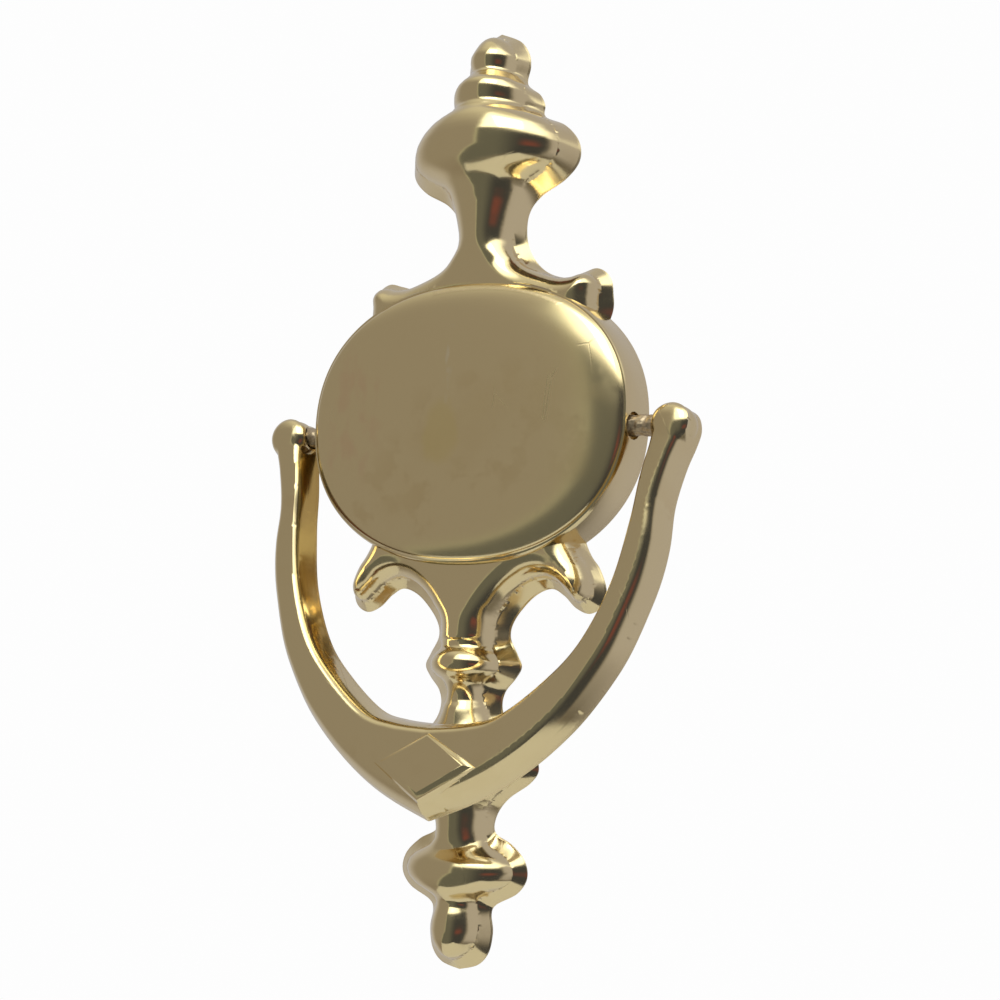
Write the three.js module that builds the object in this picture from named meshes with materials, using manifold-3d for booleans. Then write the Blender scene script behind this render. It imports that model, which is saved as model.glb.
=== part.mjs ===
// Cast brass door knocker: a long relief plate with an oval medallion, and a V-shaped bail on two pins.
// Millimetres, +Z up. The door's face is the plane y = 0, the front looks along -Y, z = 0 is the pin axis.
import * as THREE from 'three';
import { mergeVertices } from 'three/addons/utils/BufferGeometryUtils.js';
import Module from 'manifold-3d';

const wasm = await Module();
wasm.setup();

// ---- driving dimensions -------------------------------------------------------------------------
const seatGap = 0.3;            // gap kept between pieces that touch
const chamfer = 0.6;            // on the ends of the studs and pins

const plateTop = 92;            // top of the upper ball above the pin axis
const plateBottom = -113.2;     // bottom of the lower ball
const rimHeight = 4.6;          // height of the plate's sloping side wall off the door
const rimLean = 1.8;            // how far that wall leans in over its height
const crownInset = 3;           // from the plate's outline at the door to the crowned front
const crownRise = 8.6;          // greatest rise of the crowned front above the ledge, on a very wide section
const crownSoftness = 6;        // half-width at which the crown reaches half of that rise
const hornHeight = 7.6;         // height of the four curled horns at the medallion's corners
const hornLean = 1.1;           // how far their side wall leans in below that edge
const hornEdge = 0.6;           // how far the horns' rounded front edge runs in from their side wall
const castWall = 2.8;           // wall of the hollow casting

const drumHalfWidth = 38.4;     // oval medallion
const drumHalfHeight = 32;
const drumCentreZ = 2;
const drumDepth = 12.5;         // its face stands this far off the door
const drumSquareness = 2.2;     // exponent of the oval: 2 is an ellipse
const drumLean = 1.3;           // how far its side wall leans in over its height
const drumEdge = 1.6;           // rounding of its front edge

const pinRadius = 2.15;         // rough rivet pins that carry the bail
const pinClearance = 0.5;       // play of a pin in the drum's side wall
const pinHeadRadius = 2.9;
const pinHeadThick = 1.6;
const pinHeadPlay = 0.7;        // from the head to the side wall on the side the bail rests towards
const pinInEar = 5.5;           // depth of the blind hole in each ear
const pivotDepth = 6.5;         // pin axis in front of the door

const bailShift = 1.2;          // the bail rests this far to one side, inside its end play
const bailEndPlay = 2.9;        // gap from the ear to the drum's side wall when the bail is centred
const bailBack = 3;             // back face behind the bail's middle plane
const bailFront = 4;            // crown in front of it
const bailFlare = 0.5;          // its flanks widen by this towards the back and narrow by it to the front
const bailLength = 82.7;        // pin axis to the pointed tip, along the bail
const bailInner = 63.7;         // pin axis to the inside of the V
const earRadius = 4.8;
const earDrop = 0.5;            // the ears' middle hangs this far below the pin axis
const earSink = 0.7;            // how far an ear's flat inner side runs into its ball
const bailLean = 11;            // degrees that the closed bail hangs out from the door

const diamondHalfWidth = 10.7;
const diamondHalfHeight = 7;
const diamondToTip = 10.3;      // the diamond's middle to the tip
const diamondRaise = 1.2;
const diamondTilt = 7;          // degrees that its face leans further out than the arms

const strikeDrop = 71;          // height below the pin axis where the bail strikes
const strikeRadius = 5;
const strikeShankRadius = 2.2;
const strikeHeadDepth = 3.6;    // length of the plate stud in front of its seat
const strikeSunk = 1.2;         // depth of that seat in the plate's crown
const buttonRadius = 4.5;
const flareHalfWidth = 16.4;    // the plate's flare behind the bail's point, which carries the stud

const boltRadius = 3;           // M6 fixing studs
const bossRadius = 5.8;
const bossHeights = { upper: 17, lower: -11 };
const spineGap = 4;             // the spine changes width this far above and below the medallion's middle
const tappedDepth = 8;
const doorThickness = 35;
const washerRadius = 8;
const washerThick = 1.4;
const nutAcross = 10;           // across the flats
const nutHeight = 5;
const domeRise = 4;
const nutCrown = 2;             // from the stud's end to the top of the dome nut

// ---- materials ----------------------------------------------------------------------------------
const metal = (name, color, roughness, metalness = 1) => {
  const material = new THREE.MeshStandardMaterial({ color, roughness, metalness });
  material.name = name;
  return material;
};
const polishedBrass = metal('polished_brass', 0xc9a95c, 0.16);
const castBrass = metal('cast_brass', 0xa98a4a, 0.5);
const zincSteel = metal('zinc_steel', 0xb4b6b4, 0.35);
const satinBrass = metal('satin_brass', 0xb9984f, 0.35);

// ---- solids -------------------------------------------------------------------------------------
function solid(geometry) {
  const bare = geometry.clone();
  bare.deleteAttribute('normal');
  bare.deleteAttribute('uv');
  const merged = mergeVertices(bare, 1e-4);
  return new wasm.Manifold(new wasm.Mesh({
    numProp: 3,
    vertProperties: new Float32Array(merged.attributes.position.array),
    triVerts: new Uint32Array(merged.index.array),
  }));
}

function surface(manifold) {
  const mesh = manifold.getMesh();
  const geometry = new THREE.BufferGeometry();
  geometry.setAttribute('position', new THREE.BufferAttribute(new Float32Array(mesh.vertProperties), 3));
  geometry.setIndex(new THREE.BufferAttribute(new Uint32Array(mesh.triVerts), 1));
  const flat = geometry.toNonIndexed();
  flat.computeVertexNormals();
  return flat;
}

// A box between two corners.
function block(low, high) {
  const size = high.map((value, i) => value - low[i]);
  const middle = high.map((value, i) => (value + low[i]) / 2);
  return solid(new THREE.BoxGeometry(...size).translate(...middle));
}

// A flat shape drawn in x and z, standing from y = back to y = front, which is further from the door.
function stand(shape, back, front, curveSegments = 6) {
  const options = { depth: back - front, bevelEnabled: false, curveSegments };
  return solid(new THREE.ExtrudeGeometry(shape, options).rotateX(Math.PI / 2).translate(0, back, 0));
}

// The outline moved inwards by a constant width. The outline runs anticlockwise in x and z.
function insetLoop(points, width) {
  return points.map((p, i) => {
    const before = points[(i + points.length - 1) % points.length];
    const after = points[(i + 1) % points.length];
    const along = after.clone().sub(before).normalize();
    return new THREE.Vector2(p.x - along.y * width, p.y + along.x * width);
  });
}

// A closed body through copies of one outline: each layer is [inset, y], from the back to the front.
function layered(shape, layers) {
  const drawn = shape.getPoints();
  const outline = THREE.ShapeUtils.isClockWise(drawn) ? drawn.reverse() : drawn;
  const count = outline.length;
  const places = [];
  for (const [inset, y] of layers) for (const p of insetLoop(outline, inset)) places.push(p.x, y, p.y);
  const faces = [];
  for (let layer = 0; layer + 1 < layers.length; layer += 1) {
    for (let i = 0; i < count; i += 1) {
      const a = layer * count + i;
      const b = layer * count + ((i + 1) % count);
      faces.push(a, b, b + count, a, b + count, a + count);
    }
  }
  const last = layers.length - 1;
  const top = last * count;
  const lid = (inset) => THREE.ShapeUtils.triangulateShape(insetLoop(outline, inset), []);
  for (const [a, b, c] of lid(layers[last][0])) faces.push(top + a, top + b, top + c);
  for (const [a, b, c] of lid(layers[0][0])) faces.push(c, b, a);
  const geometry = new THREE.BufferGeometry();
  geometry.setAttribute('position', new THREE.BufferAttribute(new Float32Array(places), 3));
  geometry.setIndex(faces);
  return solid(geometry);
}

// The layers of a rounded front edge that begins where the side wall reaches the inset.
function roundedFront(inset, front, width, depth, steps = 2) {
  const layers = [];
  for (let step = 0; step <= steps; step += 1) {
    const turn = (Math.PI / 2) * (step / (steps + 0.5));
    layers.push([inset + width * (1 - Math.cos(turn)), front + depth * (1 - Math.sin(turn))]);
  }
  return layers;
}

// A cylinder along the given axis ('x' or 'y'), between two places on it.
function rod(axis, radius, from, to, across, z, sides = 16) {
  const geometry = new THREE.CylinderGeometry(radius, radius, Math.abs(to - from), sides);
  const middle = (from + to) / 2;
  if (axis === 'x') geometry.rotateZ(Math.PI / 2).translate(middle, across, z);
  else geometry.translate(across, middle, z);
  return solid(geometry);
}

function smooth(points, count) {
  return new THREE.SplineCurve(points.map(([x, z]) => new THREE.Vector2(x, z))).getPoints(count);
}

// A closed smooth outline through the points.
function loop(points, count) {
  const curve = new THREE.CatmullRomCurve3(points.map(([x, z]) => new THREE.Vector3(x, z, 0)), true);
  return new THREE.Shape(curve.getPoints(count).slice(1).map((p) => new THREE.Vector2(p.x, p.y)));
}

function mirrored(rightSide) {
  const left = rightSide.filter((p) => p.x > 1e-6).map((p) => new THREE.Vector2(-p.x, p.y)).reverse();
  return new THREE.Shape([...rightSide, ...left]);
}

// ---- plate --------------------------------------------------------------------------------------
// Half-widths of the turned-looking spine, from the top down: [half-width, height]. The stations of each
// group keep their distance from the base they are measured from.
const from = (base, stations) => stations.map(([halfWidth, height]) => [halfWidth, base + height]);
const drumTop = drumCentreZ + drumHalfHeight;
const drumBottom = drumCentreZ - drumHalfHeight;
const upperSpine = [
  ...from(plateTop, [
    [0, 0], [4.8, -2.3], [7.1, -5.5], [7.6, -8.7], [7.1, -12.6], [10.2, -15.4], [11.5, -18], [11.7, -20.6],
    [16.6, -23.1], [20, -27.2], [20.3, -31.6], [17.2, -35.4], [11.4, -38.9], [8.7, -42.8],
  ]),
  ...from(drumTop, [[8.6, 9.5], [10.6, 5], [16, 1.4], [20, -6]]),
  [20, drumCentreZ + spineGap],
];
const lowerSpine = [
  [22, drumCentreZ - spineGap],
  ...from(drumBottom, [
    [22, 2], [17.6, -3.4], [13.2, -6], [9.6, -9.6], [8.6, -13.4], [10.4, -17.2], [11.5, -19.8], [10.2, -22.3],
    [7.9, -25.2], [7.4, -28.6],
  ]),
  ...from(-strikeDrop, [
    [9.2, 8.6], [flareHalfWidth - 1.8, 3.8], [flareHalfWidth, 0], [flareHalfWidth - 1.8, -3], [9.8, -6.4],
    [7.2, -10],
  ]),
  ...from(plateBottom, [
    [7, 28.6], [10.8, 26.4], [14, 23.2], [14.7, 19.6], [12.6, 16.4], [7.9, 13.8], [6.9, 11.8], [7.4, 8.2],
    [6.6, 3.9], [4.2, 1.2], [0, 0],
  ]),
];
const spine = [...smooth(upperSpine, 36), ...smooth(lowerSpine, 50)];

const drumOval = (inset) => {
  const points = [];
  const sides = 48;
  for (let i = 0; i < sides; i += 1) {
    const turn = (2 * Math.PI * i) / sides;
    const bend = (value) => Math.sign(value) * Math.abs(value) ** (2 / drumSquareness);
    points.push(new THREE.Vector2(
      (drumHalfWidth - inset) * bend(Math.cos(turn)),
      drumCentreZ + (drumHalfHeight - inset) * bend(Math.sin(turn)),
    ));
  }
  return new THREE.Shape(points);
};

// The spine's rounded front: sections of half an ellipse standing on a flat base at y = seat.
function crowned(inset, seat, rise) {
  const inside = spine.filter((p) => p.x > inset + 0.4);
  const low = inside[inside.length - 1];
  const high = inside[0];
  const edge = inside.map((p) => new THREE.Vector2(p.x - inset, p.y)).reverse();
  const profile = [new THREE.Vector2(0, low.y - 0.2), ...edge, new THREE.Vector2(0, high.y + 0.2)];
  const geometry = new THREE.LatheGeometry(profile, 16).rotateX(Math.PI / 2);
  const place = geometry.attributes.position;
  for (let i = 0; i < place.count; i += 1) {
    const halfWidth = Math.hypot(place.getX(i), place.getY(i));
    const flatten = halfWidth > 0 ? rise(halfWidth) / halfWidth : 0;
    place.setY(i, seat + place.getY(i) * flatten);
  }
  const reach = 2 * plateTop;
  return solid(geometry).intersect(block([-reach, -reach, -reach], [reach, seat + 1, reach]));
}
const riseOf = (halfWidth) => (crownRise * halfWidth) / (halfWidth + crownSoftness);

const hornShape = loop(from(drumTop, [
  [14, 0.8], [18.4, 0.4], [22, 1.4], [25.4, 2.3], [28.4, 0.2], [29.3, -3.4], [28.6, -10], [22, -17],
  [13, -16], [9, -6],
]), 40);
const scrollShape = loop(from(drumBottom, [
  [13.6, -4.2], [17.6, -3], [20.6, -4.4], [23.2, -7.2], [26.2, -8.6], [29.2, -7], [30.2, -3.6], [28.4, 1],
  [25.4, 5.6], [20, 13], [12, 12], [8, 2],
]), 48);
const flip = (shape) => new THREE.Shape(shape.getPoints().map((p) => new THREE.Vector2(-p.x, p.y)).reverse());

const rimWall = [[0, 0], [rimLean / 4, -rimHeight * 0.6], [rimLean, -rimHeight]];
let plateSolid = layered(mirrored(spine), rimWall)
  .add(crowned(crownInset, -rimHeight, riseOf))
  .add(layered(drumOval(0), [[0, 0], ...roundedFront(drumLean, -drumDepth, drumEdge, drumEdge)]));
for (const shape of [hornShape, scrollShape]) {
  const horn = [[0, 0], ...roundedFront(hornLean, -hornHeight, hornEdge, hornHeight - rimHeight)];
  plateSolid = plateSolid.add(layered(shape, horn)).add(layered(flip(shape), horn));
}

// The back is hollow: one deep pocket behind the medallion and one along the spine.
plateSolid = plateSolid
  .subtract(layered(drumOval(castWall), [[0, 1], [drumLean, castWall - drumDepth]]))
  .subtract(crowned(castWall, 0, (halfWidth) => rimHeight - castWall + riseOf(halfWidth)));

// Tapped bosses for the fixing studs stand in the pocket and end level with the plate's back.
for (const height of Object.values(bossHeights)) {
  plateSolid = plateSolid
    .add(rod('y', bossRadius, castWall - drumDepth - 0.5, 0, 0, height))
    .subtract(rod('y', boltRadius + seatGap, -tappedDepth - seatGap, 1, 0, height));
}

// Pin holes through the medallion's side wall, and the seat and hole of the strike stud.
const crownFront = rimHeight + riseOf(flareHalfWidth - crownInset);
const strikeSeat = crownFront - strikeSunk;
plateSolid = plateSolid
  .subtract(rod('x', pinRadius + pinClearance, -drumHalfWidth - 2, drumHalfWidth + 2, -pivotDepth, 0))
  .subtract(rod('y', strikeRadius + seatGap, -strikeSeat, -strikeSeat - 6, 0, -strikeDrop))
  .subtract(rod('y', strikeShankRadius + seatGap, -strikeSeat - 1, 1, 0, -strikeDrop));

const object = new THREE.Group();
const place = (parent, name, geometry, material) => {
  const mesh = new THREE.Mesh(geometry, material);
  mesh.name = name;
  parent.add(mesh);
  return mesh;
};
place(object, 'back_plate', surface(plateSolid), polishedBrass);

// Strike stud: a domed brass button riveted through the lower flare, which the bail knocks on.
const domed = (points) => new THREE.LatheGeometry(points.map(([r, h]) => new THREE.Vector2(r, h)), 16);
const shankEnd = -strikeSeat + castWall;
const strikeBack = -strikeSeat - seatGap;
const strikeFront = -strikeSeat - strikeHeadDepth;
const strikeStud = domed([
  [0, strikeFront], [strikeRadius - 2.4, strikeFront], [strikeRadius - 1, strikeFront + 0.3],
  [strikeRadius, strikeFront + 1.2], [strikeRadius, strikeBack], [strikeShankRadius, strikeBack],
  [strikeShankRadius, shankEnd], [0, shankEnd],
]);
place(object, 'strike_stud', strikeStud, satinBrass).position.z = -strikeDrop;

// ---- fixings through the door -------------------------------------------------------------------
const hexagon = (across) => {
  const corner = across / Math.sqrt(3);
  const points = [];
  for (let i = 0; i < 6; i += 1) {
    const turn = (Math.PI * i) / 3;
    points.push(new THREE.Vector2(corner * Math.cos(turn), corner * Math.sin(turn)));
  }
  return new THREE.Shape(points);
};
const nutSeat = doorThickness + washerThick + seatGap;
const boltEnd = nutSeat + nutHeight + domeRise - nutCrown;
for (const [side, height] of Object.entries(bossHeights)) {
  const stud = new THREE.Group();
  stud.position.z = height;
  object.add(stud);
  const bolt = domed([
    [0, -tappedDepth], [boltRadius - chamfer, -tappedDepth], [boltRadius, -tappedDepth + chamfer],
    [boltRadius, boltEnd - chamfer], [boltRadius - chamfer, boltEnd], [0, boltEnd],
  ]);
  place(stud, `${side}_fixing_stud`, bolt, zincSteel);
  const hole = boltRadius + seatGap;
  const washerBack = doorThickness + washerThick;
  const washer = domed([
    [hole, doorThickness], [washerRadius, doorThickness], [washerRadius, washerBack], [hole, washerBack],
    [hole, doorThickness],
  ]);
  place(stud, `${side}_washer`, washer, zincSteel);
  const nutEnd = nutSeat + nutHeight;
  const domeRadius = nutAcross / 2 - 0.3;
  const cap = domed([
    [0, nutEnd - 1], [domeRadius, nutEnd - 1], [domeRadius * 0.94, nutEnd + domeRise * 0.35],
    [domeRadius * 0.64, nutEnd + domeRise * 0.8], [domeRadius * 0.3, nutEnd + domeRise],
    [0, nutEnd + domeRise],
  ]);
  const nut = stand(hexagon(nutAcross), nutEnd, nutSeat)
    .add(solid(cap))
    .subtract(rod('y', boltRadius + seatGap, nutSeat - 1, boltEnd + seatGap, 0, 0));
  place(stud, `${side}_dome_nut`, surface(nut), polishedBrass);
}

// ---- bail ---------------------------------------------------------------------------------------
// The bail's group has its origin on the pin axis and leans out from the door. The bail is drawn in it
// hanging straight down.
const bail = new THREE.Group();
bail.position.set(bailShift, -pivotDepth, 0);
bail.rotation.x = THREE.MathUtils.degToRad(-bailLean);
object.add(bail);

const earInner = drumHalfWidth + bailEndPlay;
const earX = earInner + earRadius - earSink;
const tipToEar = [
  ...from(-bailLength, [
    [0, 0], [8.4, 3.5], [earX - 30.5, 7], [earX - 24, 11.7], [earX - 18.4, 16.9], [earX - 13.8, 22.2],
  ]),
  [earX - 9.2, -53.6], [earX - 6, -47.5], [earX - 3.1, -39.5], [earX - 1.1, -32.6], [earX, -25.5],
  [earX, -17], [earX + 1.8, -9.6],
];
const earArc = [-45, 0, 45, 90, 135, 180].map((degrees) => {
  const turn = THREE.MathUtils.degToRad(degrees);
  const reach = earRadius - bailFlare;
  return [earX + reach * Math.cos(turn), reach * Math.sin(turn) - earDrop];
});
const earToFork = [
  [earX - 5.3, -6.5], [earX - 6.4, -13], [earX - 7.5, -22], [earX - 10.2, -34.7],
  ...from(-bailInner, [[earX - 15.6, 17.1], [earX - 22.4, 9.3], [14.6, 2.6], [8, 0.7], [0, 0]]),
];
const bailShape = mirrored(smooth([...tipToEar, ...earArc, ...earToFork], 62));

const diamond = new THREE.Shape([
  new THREE.Vector2(0, diamondHalfHeight), new THREE.Vector2(diamondHalfWidth, 0),
  new THREE.Vector2(0, -diamondHalfHeight), new THREE.Vector2(-diamondHalfWidth, 0),
]);
const diamondBack = 1;
const diamondDepth = { depth: bailFront + diamondRaise + diamondBack, bevelEnabled: false };
const diamondBlock = new THREE.ExtrudeGeometry(diamond, diamondDepth)
  .rotateX(Math.PI / 2)
  .translate(0, diamondBack, 0)
  .rotateX(THREE.MathUtils.degToRad(-diamondTilt))
  .translate(0, 0, diamondToTip - bailLength);
const buttonDrop = strikeDrop / Math.cos(THREE.MathUtils.degToRad(bailLean));
const bailLayers = [[-bailFlare, bailBack], ...roundedFront(bailFlare, -bailFront, 2.6, bailFront)];
let bailSolid = layered(bailShape, bailLayers).add(solid(diamondBlock));
for (const side of [-1, 1]) {
  const ear = new THREE.SphereGeometry(earRadius, 18, 12).translate(side * earX, 0, -earDrop);
  bailSolid = bailSolid
    .add(solid(ear))
    .subtract(rod('x', pinRadius + seatGap, side * (earInner - 2), side * (earInner + pinInEar), 0, 0));
}
bailSolid = bailSolid.subtract(rod('y', strikeShankRadius + seatGap, 0, bailBack + 1, 0, -buttonDrop));
place(bail, 'bail', surface(bailSolid), polishedBrass);

// Rivet pins: driven from inside the medallion through its side wall into the ears, and headed inside.
for (const [name, side] of [['left_pivot_pin', -1], ['right_pivot_pin', 1]]) {
  const headInner = drumHalfWidth - drumLean - castWall - bailShift - pinHeadThick - pinHeadPlay;
  const headOuter = headInner + pinHeadThick;
  const pinEnd = earInner + pinInEar - seatGap;
  const pin = domed([
    [0, headInner], [pinHeadRadius - chamfer, headInner], [pinHeadRadius, headInner + chamfer],
    [pinHeadRadius, headOuter], [pinRadius, headOuter], [pinRadius, pinEnd - chamfer],
    [pinRadius - chamfer, pinEnd], [0, pinEnd],
  ]).rotateZ(-side * Math.PI / 2);
  place(bail, name, pin, castBrass);
}

// Striker button on the bail's back, opposite the strike stud. Its length closes the gap between them.
const lean = THREE.MathUtils.degToRad(bailLean);
const studFace = strikeSeat + strikeHeadDepth;
const bailBackAtStrike = pivotDepth + strikeDrop * Math.tan(lean) - bailBack / Math.cos(lean);
const buttonReach = (bailBackAtStrike - studFace) * Math.cos(lean) - strikeRadius * Math.sin(lean) - seatGap;
const button = domed([
  [0, seatGap], [strikeShankRadius, seatGap], [strikeShankRadius, bailBack + seatGap],
  [buttonRadius, bailBack + seatGap], [buttonRadius, bailBack + buttonReach - 1],
  [buttonRadius - 1.4, bailBack + buttonReach], [0, bailBack + buttonReach],
]);
place(bail, 'striker_button', button, satinBrass).position.z = -buttonDrop;

export default object;
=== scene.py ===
"""Cast brass door knocker: a relief plate with an oval medallion, and a V-shaped bail that swings on two pins."""
import math

import bpy
import numpy as np
from mathutils import Matrix, Vector
from mathutils.geometry import delaunay_2d_cdt


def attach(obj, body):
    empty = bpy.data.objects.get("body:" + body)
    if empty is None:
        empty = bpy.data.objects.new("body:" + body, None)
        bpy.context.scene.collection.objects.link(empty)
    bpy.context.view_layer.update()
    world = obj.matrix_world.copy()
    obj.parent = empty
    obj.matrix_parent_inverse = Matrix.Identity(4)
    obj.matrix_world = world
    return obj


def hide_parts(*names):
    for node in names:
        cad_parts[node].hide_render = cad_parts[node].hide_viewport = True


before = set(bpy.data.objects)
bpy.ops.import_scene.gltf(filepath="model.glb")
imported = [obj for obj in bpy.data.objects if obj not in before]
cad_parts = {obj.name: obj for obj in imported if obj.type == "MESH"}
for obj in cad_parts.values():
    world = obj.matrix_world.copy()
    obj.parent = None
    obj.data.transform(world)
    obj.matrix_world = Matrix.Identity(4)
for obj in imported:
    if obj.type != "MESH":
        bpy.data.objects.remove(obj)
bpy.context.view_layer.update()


# ---- back plate --------------------------------------------------------------------------------------
# One hollow brass casting: a spine that looks turned, with four curled horns, and an oval medallion standing on it.
# It is cast with a sloping rim all round, then ground and polished on the front; the pockets behind are left as cast.
# Sizes here and below are in millimetres, with the door's face at y = 0 and the pin axis at z = 0.
MM = 0.001
pivot_depth = 6.5
strike_height = -71
stud_heights = (17, -11)
boss_radius = 5.8
stud_hole_radius = 3.3
pin_hole_radius = 2.95
shank_hole_radius = 2.5
drum_half_width, drum_half_height, drum_centre = 38.4, 32, 2
drum_squareness = 2.2

# The spine's crown, by height: half-width of its crowned front, height of the rim it stands on, and its own rise.
upper_crown = [
    (90, 0.3, 2.2, 0.2), (89.7, 1.7, 2.4, 2.0), (88.9, 2.9, 2.7, 3.2), (87.8, 3.9, 3.0, 4.1), (86.3, 4.8, 3.3, 4.7),
    (84.9, 5.5, 3.5, 5.2), (83.6, 5.5, 3.6, 5.2), (82.4, 5.2, 3.7, 4.9), (81.4, 4.9, 3.8, 4.6), (80.7, 5.0, 3.9, 4.7),
    (80.1, 5.6, 4.0, 5.4), (79.5, 6.1, 4.0, 5.9), (78.9, 6.6, 4.2, 6.3), (78.2, 7.4, 4.4, 7.0), (77.2, 8.2, 4.6, 7.5),
    (76, 8.6, 4.7, 7.6), (74.4, 8.6, 4.7, 7.5), (73.2, 8.4, 4.7, 7.2), (72.6, 8.3, 4.8, 7.1), (72.1, 8.6, 5.0, 7.4),
    (71.8, 9.0, 5.0, 7.8), (71.6, 8.9, 5.1, 7.4), (70.9, 9.9, 5.2, 7.9), (70, 12.1, 5.3, 8.5), (68.8, 14.2, 5.4, 9.1),
    (67, 16, 5.5, 9.6), (65, 17.1, 5.6, 9.9), (63, 17.5, 5.6, 9.9), (61, 17.2, 5.5, 9.7), (59.4, 16.2, 5.3, 9.3),
    (58, 14.4, 5.0, 8.7), (56.9, 12.3, 4.7, 8.1), (55.8, 10.4, 4.4, 7.5), (54, 9.0, 4.1, 7.0), (51, 8.0, 3.6, 6.7),
    (48, 7.2, 3.3, 6.6), (45, 6.6, 3.1, 6.5), (42.5, 6.4, 3.0, 6.5), (41, 6.7, 2.9, 6.4), (39.5, 7.4, 2.8, 6.4),
    (37, 9.2, 2.6, 6.2), (30, 26, 2.5, 6.2), (0, 26, 2.5, 6.2),
]
lower_crown = [
    (0, 26, 2.5, 6.2), (-30, 26, 2.5, 6.2), (-36, 7.6, 2.8, 6.2), (-40, 6.3, 3.2, 6.0), (-43.4, 6.1, 3.4, 6.0),
    (-44.3, 6.1, 3.5, 6.1), (-44.7, 6.0, 3.5, 5.2), (-45.6, 5.9, 3.6, 5.2), (-46.4, 6.0, 3.7, 5.3),
    (-46.8, 6.2, 3.8, 6.0), (-47.6, 7.0, 3.9, 6.8), (-48.6, 7.7, 4.0, 7.2), (-49.6, 8.0, 4.1, 7.3),
    (-50.8, 7.8, 4.1, 7.1), (-51.8, 7.0, 4.0, 6.5), (-52.6, 5.7, 4.0, 5.6), (-53.2, 4.9, 3.9, 4.7),
    (-54.2, 4.2, 3.8, 4.2), (-55.6, 3.9, 3.6, 3.9), (-57, 4.1, 3.5, 4.0), (-57.9, 4.5, 3.3, 4.4),
    (-58.4, 4.8, 3.2, 5.1), (-60, 5.3, 3.0, 5.7), (-62, 6.2, 3.0, 6.1), (-64, 8.4, 3.0, 6.5), (-67, 11.8, 3.0, 7.2),
    (-70.8, 13.4, 3.0, 7.6), (-74, 11.8, 3.0, 7.2), (-77, 8.2, 2.8, 6.6), (-80, 6.2, 2.5, 6.2), (-84, 5.7, 2.2, 6.0),
    (-86.2, 6.0, 2.1, 5.7), (-87.6, 7.2, 2.1, 5.5), (-88.5, 8.8, 2.2, 5.7), (-89.5, 10.6, 2.3, 6.4),
    (-90.8, 11.9, 2.4, 7.1), (-92.6, 12.5, 2.4, 7.6), (-94.2, 12.0, 2.4, 7.5), (-95.8, 10.2, 2.5, 7.0),
    (-97, 7.6, 2.6, 6.2), (-97.9, 5.6, 2.7, 5.2), (-98.8, 4.7, 2.8, 4.3), (-99.8, 4.5, 2.9, 4.3),
    (-101, 4.8, 3.0, 4.8), (-103, 5.3, 3.1, 5.2), (-105, 5.4, 3.2, 5.4), (-107, 4.9, 3.2, 5.2),
    (-108.8, 3.8, 3.1, 4.4), (-110, 2.6, 3.0, 3.4), (-110.7, 1.4, 2.9, 2.0), (-111, 0.3, 2.8, 0.3),
]
# The right half of the plate's outline at the door, from the top down.
upper_rim = [
    (0, 92), (4.8, 89.7), (7.1, 86.5), (7.6, 83.3), (7.1, 79.4), (10.2, 76.6), (11.5, 74), (11.7, 71.4), (16.6, 68.9),
    (20, 64.8), (20.3, 60.4), (17.2, 56.6), (11.4, 53.1), (8.7, 49.2), (8.6, 43.5), (10.6, 39), (14, 35.8),
    (18.4, 34.4), (22, 35.2), (25.4, 36), (28.2, 34.2), (29.3, 30.6), (28.6, 24), (20, 12), (0, 10),
]
lower_rim = [
    (0, -8), (20, -10), (25.6, -24.4), (28.6, -29), (30.2, -33.4), (29.4, -36.8), (26.6, -38.4), (23.4, -37.2),
    (20.6, -34.6), (17.6, -33.2), (13.6, -35), (9.6, -39.6), (8.6, -43.4), (10.4, -47.2), (11.5, -49.8),
    (10.2, -52.3), (7.9, -55.2), (7.4, -58.6), (9.2, -62.4), (14.6, -67.2), (16.4, -71), (14.6, -74), (9.8, -77.4),
    (7.2, -81), (7, -84.6), (10.8, -86.8), (14, -90), (14.7, -93.6), (12.6, -96.8), (7.9, -99.4), (6.9, -101.4),
    (7.4, -105), (6.6, -109.3), (4.2, -112), (0, -113.2),
]
# The right edge of the shoulders and horns, where the polished front meets the rim.
upper_shoulder = [
    (6.7, 41), (7.6, 39.2), (9.2, 37.4), (11.4, 36), (14.5, 34.7), (18, 33.6), (21, 33.5), (23.3, 34), (25, 33.9),
    (26.4, 32.9), (27.1, 31.4), (27, 29.4), (26, 23), (18, 13), (0, 12),
]
lower_shoulder = [
    (0, -10), (18, -12), (24.4, -24.8), (26.8, -28.6), (28.1, -32), (28, -34.4), (26.9, -36), (25.1, -36.2),
    (23, -34.4), (20.6, -32.2), (17.4, -31.2), (14, -31.8), (10.6, -34), (8, -37),
]


def smooth_line(points, step):
    """A Catmull-Rom line through the points, sampled about every step."""
    points = np.array(points, float)
    out = []
    for i in range(len(points) - 1):
        a, b = points[i], points[i + 1]
        before = points[i - 1] if i else a
        after = points[i + 2] if i + 2 < len(points) else b
        count = max(1, round(float(np.linalg.norm(b - a)) / step))
        for t in np.arange(count)[:, None] / count:
            out.append(0.5 * (2 * a + (b - before) * t + (2 * before - 5 * a + 4 * b - after) * t**2
                              + (3 * a - before - 3 * b + after) * t**3))
    return np.vstack([np.array(out).reshape(-1, 2), points[-1:]])


def both_sides(right, step=0.6):
    """A closed smooth outline, anticlockwise, from the points of its right side, given from the top down."""
    right = smooth_line(right, step)
    left = right[right[:, 0] > 1e-6] * [-1, 1]
    return np.vstack([right, left[::-1]])[::-1]


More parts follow.
